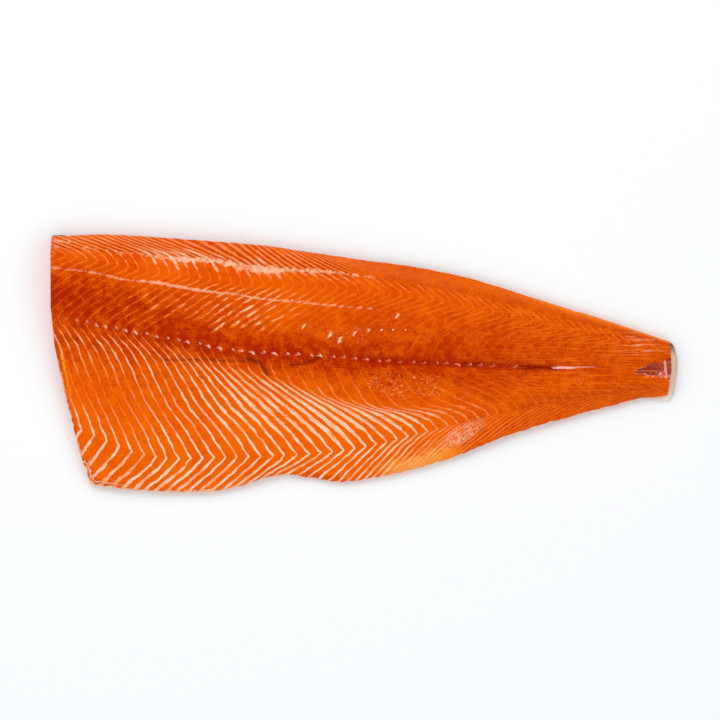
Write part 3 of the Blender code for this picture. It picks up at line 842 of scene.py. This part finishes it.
class SALMON_OT_flesh(bpy.types.Operator):
    """Builds the flesh along its muscle layers and cuts both ends"""

    bl_idname = "salmon.flesh"
    bl_label = "Flesh"

    def execute(self, context):
        sizes = context.scene.salmon_sizes
        layers = np.array([n + step for n in range(FIRST_LAYER, int(LAST_LAYER)) for step in LAYER_STEPS])
        near = EDGE_ROUND * (1 - np.cos(np.linspace(0, np.pi / 2, EDGE_POINTS)))
        far = LAST_MARK - near
        rows = [np.linspace(EDGE_ROUND, 1, 13)[1:]]
        for mark, count in enumerate(POINTS_ACROSS, 1):
            rows.append(np.linspace(mark, mark + 1, count + 1)[1:])
        rows.append(np.linspace(LAST_MARK - 1, LAST_MARK - EDGE_ROUND, 19)[1:-1])
        top = np.concatenate([near, *rows, far[::-1]])
        under = np.concatenate([far[1:], [6, 3.5, 1, 0.65, 0.35], near[:0:-1]])
        across = np.concatenate([top, under])
        x, y = courses(layers, across)
        grid_layers = np.repeat(layers[:, None], len(across), axis=1)
        grid_across = np.repeat(across[None, :], len(layers), axis=0)

        # A little waver in each layer, and a ragged belly edge.
        inward = np.clip(np.minimum(grid_across, LAST_MARK - grid_across) * 2, 0, 1)
        x = x + 0.55 * inward * ripple(x, y, size=9, seed=1.5)
        belly_side = np.clip(grid_across - LAST_MARK + 1, 0, 1) ** 2
        ragged = 0.5 * ripple(x, y * 0, size=6, seed=4.5) + 0.35 * ripple(x, y * 0, size=2.2, seed=8.5)
        y = y + belly_side * ragged
        back_side = np.clip(1 - grid_across, 0, 1) ** 2
        y = y + back_side * 0.25 * ripple(x, y * 0, size=9, seed=6.5)

        # Both long edges are rounded, from the top over to the underside.
        under_z = sizes.skin_thickness / MM + SKIN_GAP + turn_up(x, y)
        top_z = self.heights(layers, across, x, y, grid_layers, sizes)
        z = top_z.copy()
        count, last = len(top), len(across)
        z[:, count:] = under_z[:, count:]
        from_edge = np.minimum(across, LAST_MARK - across) / EDGE_ROUND
        rise = np.sin(np.arccos(np.clip(1 - from_edge, 0, 1)))
        back = (EDGE_POINTS - 1, slice(0, EDGE_POINTS), slice(last - EDGE_POINTS + 1, last))
        belly = (
            count - EDGE_POINTS, slice(count - EDGE_POINTS, count), slice(count, count + EDGE_POINTS - 1),
        )
        for rim, above, below in (back, belly):
            centre = ((top_z[:, rim] + under_z[:, rim]) / 2)[:, None]
            z[:, above] = centre + rise[above] * (top_z[:, [rim]] - centre)
            z[:, below] = centre - rise[below] * (centre - under_z[:, below])

        # The ring closes on itself, so its first row is repeated at the end.
        ring = np.r_[0 : len(across), 0]
        piece = grid_piece("salmon_flesh", len(layers), len(ring))
        place_points(piece, x[:, ring], y[:, ring], z[:, ring])
        for name, values in self.looks(layers, across, x, y, grid_layers, grid_across).items():
            add_attribute(piece, name, values[:, ring])
        face_outward()
        trim(HEAD_CUT, TAIL_CUT)
        face_outward()
        colours = context.scene.salmon_colours
        piece.data.materials.append(flesh_material(colours))
        piece.data.materials.append(cut_material(colours))
        for face in piece.data.polygons:
            at_end = not HEAD_FACES <= face.center.x / MM <= TAIL_FACES
            upright = abs(face.normal.z) < 0.05 and abs(face.normal.x) > 0.85
            face.material_index = int(at_end and upright)
        bpy.ops.object.shade_smooth_by_angle(angle=0.9)
        rest_on_body(piece, "flesh")
        return {"FINISHED"}

    @staticmethod
    def heights(layers, across, x, y, grid_layers, sizes):
        """Height of the flesh over the whole grid."""
        shoulder = np.where(across < 1, 1 - (1 - np.minimum(across, 1)) ** 1.8, across)
        z = field(HEIGHTS, layers, shoulder)
        relief = np.interp(across, MARKS, RELIEF)[None, :] * sizes.groove / FULL_RELIEF
        relief = relief * (1 - 0.45 * np.clip((grid_layers - 4) / 64, 0, 1))
        bulge = np.abs(np.sin(np.pi * grid_layers)) ** 0.7
        z = z + relief * (1.6 * bulge - 0.9)
        z = z + sizes.swell / MM * np.sin(x / 38 + 0.6) * np.sin(y / 26.6 + 1.1)
        z = z + 0.35 * ripple(x, y, size=14, seed=2.5) + 0.18 * ripple(x, y, size=5, seed=3.5)
        from_bones = y - smooth(BONE_LINE, x)
        z = z - smooth(GROOVE_DEPTH, x) * np.exp(-((from_bones / GROOVE_WIDTH) ** 2))
        step = np.interp(across, (5.5, 5.96, 6.04, 6.5), (0, 1, -1, 0))[None, :]
        z = z + 0.5 * step * window(grid_layers, (16, 30))
        lip = np.interp(across, (8.5, 8.9, 9), (0, 1, 0))[None, :]
        z = z + 0.9 * lip * window(grid_layers, (9, 20))
        fat = np.clip(1 - np.abs(y - smooth(FAT_LINE, x)) / smooth(FAT_WIDTH, x), 0, 1)
        z = z + 0.35 * fat * (0.6 + 0.4 * ripple(x, y, size=3, seed=9.5))
        for course, depth, width in CREASES:
            z = z - depth * np.exp(-((along(course, x, y) / width) ** 2))
        return z

    @staticmethod
    def looks(layers, across, x, y, grid_layers, grid_across):
        """What the material reads: layer and line distances, and how the meat varies."""
        du_x, du_y = np.gradient(x, layers, axis=0), np.gradient(y, layers, axis=0)
        dv_x, dv_y = np.gradient(x, axis=1), np.gradient(y, axis=1)
        length = np.hypot(dv_x, dv_y) + 1e-6
        spacing = np.clip(np.abs(du_x * dv_y - du_y * dv_x) / length, 0.8, 12)
        # How much painted shade falls in the creases, for the material.
        crease_shade = np.zeros(x.shape)
        for course, depth, width in CREASES:
            crease_shade = np.maximum(crease_shade, np.exp(-((along(course, x, y) / width) ** 2)) * min(depth * 0.55, 1))
        return {
            "layer": grid_layers,
            "across": grid_across,
            "spacing": spacing,
            "seam_strength": field(SEAM_STRENGTH, layers, across),
            "seam_width": field(SEAM_WIDTH, layers, across),
            "dark_meat": field(DARK_MEAT, layers, across),
            "fat_line": np.abs(y - smooth(FAT_LINE, x)) - smooth(FAT_WIDTH, x),
            "white_line": np.abs(y - smooth(WHITE_LINE, x)) - smooth(WHITE_WIDTH, x),
            "bone_line": y - smooth(BONE_LINE, x),
            "bone_count": smooth(BONE_COUNT, x),
            "crease_shade": crease_shade,
            "lip_line": along(LIP, x, y),
            "cut_line": along(HEAD_CUT, x, y),
        }


class SALMON_OT_skin(bpy.types.Operator):
    """Builds the skin under the flesh, with its longer end at the tail"""

    bl_idname = "salmon.skin"
    bl_label = "Skin"

    def execute(self, context):
        sizes = context.scene.salmon_sizes
        columns = np.concatenate([np.arange(-300, 240, 4), np.arange(240, 300, 1.5)])
        shares = np.concatenate([np.linspace(0, 0.15, 14), np.linspace(0.15, 1, 26)[1:]])
        thick = sizes.skin_thickness / MM
        back = smooth(BACK_EDGE, columns) - 0.9 + 1.6 * np.clip((-264 - columns) / 6, 0, 1)
        belly = smooth(BELLY_EDGE, columns) + 1.5 - 6.5 * np.clip((columns - 245) / 25, 0, 1)
        x = np.repeat(columns[:, None], len(shares), axis=1)
        y = back[:, None] + shares * (belly - back)[:, None]
        under = turn_up(x, y)
        ring_x = np.concatenate([x, x[:, ::-1], x[:, :1]], axis=1)
        ring_y = np.concatenate([y, y[:, ::-1], y[:, :1]], axis=1)
        ring_z = np.concatenate([under + thick, under[:, ::-1], under[:, :1] + thick], axis=1)
        inner = np.concatenate([x * 0 + 1, x * 0, x[:, :1] * 0 + 1], axis=1)
        from_back = np.clip((back[:, None] - ring_y) / (back - belly)[:, None], 0, 1)
        rim = SKIN_TAIL_CUT[1:-1]
        piece = grid_piece("salmon_skin", len(columns), ring_x.shape[1])
        place_points(piece, ring_x, ring_y, ring_z)
        add_attribute(piece, "inner", inner)
        add_attribute(piece, "from_back", from_back)
        add_attribute(piece, "tail_rim", np.clip(1 - (along(rim, ring_x, ring_y) - 0.2) / 1.2, 0, 1))
        face_outward()
        trim(HEAD_CUT, SKIN_TAIL_CUT)
        face_outward()
        piece.data.materials.append(skin_material(context.scene.salmon_colours))
        bpy.ops.object.shade_smooth_by_angle(angle=0.7)
        rest_on_body(piece, "skin")
        return {"FINISHED"}


class SALMON_OT_stage(bpy.types.Operator):
    """Adds the pale floor, the soft lights and the camera straight above"""

    bl_idname = "salmon.stage"
    bl_label = "Stage"

    def execute(self, context):
        deselect_all()
        bpy.ops.mesh.primitive_plane_add(size=FLOOR_SIZE, location=(0, 0, FLOOR_LEVEL))
        floor = context.object
        floor.name = "floor"
        paint = Paint("pale_floor", Base_Color=FLOOR_COLOUR, Roughness=0.9, Specular_IOR_Level=0.1)
        floor.data.materials.append(paint.material)
        for name, place, size, power in LAMPS:
            light = bpy.data.lights.new(name, "AREA")
            light.size = size
            light.energy = power
            lamp = bpy.data.objects.new(name, light)
            lamp.location = place
            lamp.rotation_euler = (-Vector(place)).to_track_quat("-Z", "Y").to_euler()
            context.scene.collection.objects.link(lamp)
        self.sky(context.scene)
        lens = bpy.data.cameras.new("camera")
        lens.lens = CAMERA_LENS
        camera = bpy.data.objects.new("camera", lens)
        camera.location = CAMERA_PLACE
        context.scene.collection.objects.link(camera)
        context.scene.camera = camera
        context.scene.view_settings.view_transform = "Standard"
        return {"FINISHED"}

    @staticmethod
    def sky(scene):
        """Even light, dim straight overhead so that wet flesh keeps its colour, and dim near the floor."""
        world = bpy.data.worlds.new("soft_room")
        scene.world = world
        world.use_nodes = True
        tree = world.node_tree
        place = tree.nodes.new("ShaderNodeTexCoord")
        split = tree.nodes.new("ShaderNodeSeparateXYZ")
        both = tree.nodes.new("ShaderNodeMath")
        both.operation = "MULTIPLY"
        tree.links.new(place.outputs["Generated"], split.inputs[0])
        names = ("From Min", "From Max", "To Min", "To Max")
        for socket, values in zip(both.inputs, ((0.97, 0.75, 0.06, 1.18), (0.0, 0.5, 0.2, 1.0))):
            ramp = tree.nodes.new("ShaderNodeMapRange")
            ramp.interpolation_type = "SMOOTHSTEP"
            for name, value in zip(names, values):
                ramp.inputs[name].default_value = value
            tree.links.new(split.outputs["Z"], ramp.inputs["Value"])
            tree.links.new(ramp.outputs["Result"], socket)
        tree.links.new(both.outputs[0], tree.nodes["Background"].inputs["Strength"])
        tree.nodes["Background"].inputs["Color"].default_value = SKY_COLOUR


class SALMON_PT_panel(bpy.types.Panel):
    """Sizes, colours and steps of the salmon side"""

    bl_idname = "SALMON_PT_panel"
    bl_label = "Salmon"
    bl_space_type = "VIEW_3D"
    bl_region_type = "UI"
    bl_category = "Salmon"

    def draw(self, context):
        for group in (context.scene.salmon_sizes, context.scene.salmon_colours):
            for name in group.bl_rna.properties.keys():
                if name not in {"rna_type", "name"}:
                    self.layout.prop(group, name)
        for operator in (SALMON_OT_flesh, SALMON_OT_skin, SALMON_OT_stage):
            self.layout.operator(operator.bl_idname)


CLASSES = (
    SalmonSizes, SalmonColours, SALMON_OT_flesh, SALMON_OT_skin, SALMON_OT_stage, SALMON_PT_panel,
)


def register():
    for item in CLASSES:
        bpy.utils.register_class(item)
    bpy.types.Scene.salmon_sizes = bpy.props.PointerProperty(type=SalmonSizes)
    bpy.types.Scene.salmon_colours = bpy.props.PointerProperty(type=SalmonColours)


def unregister():
    del bpy.types.Scene.salmon_colours
    del bpy.types.Scene.salmon_sizes
    for item in reversed(CLASSES):
        bpy.utils.unregister_class(item)


def main():
    register()
    bpy.ops.salmon.flesh()
    bpy.ops.salmon.skin()
    bpy.ops.salmon.stage()


if __name__ == "__main__":
    main()
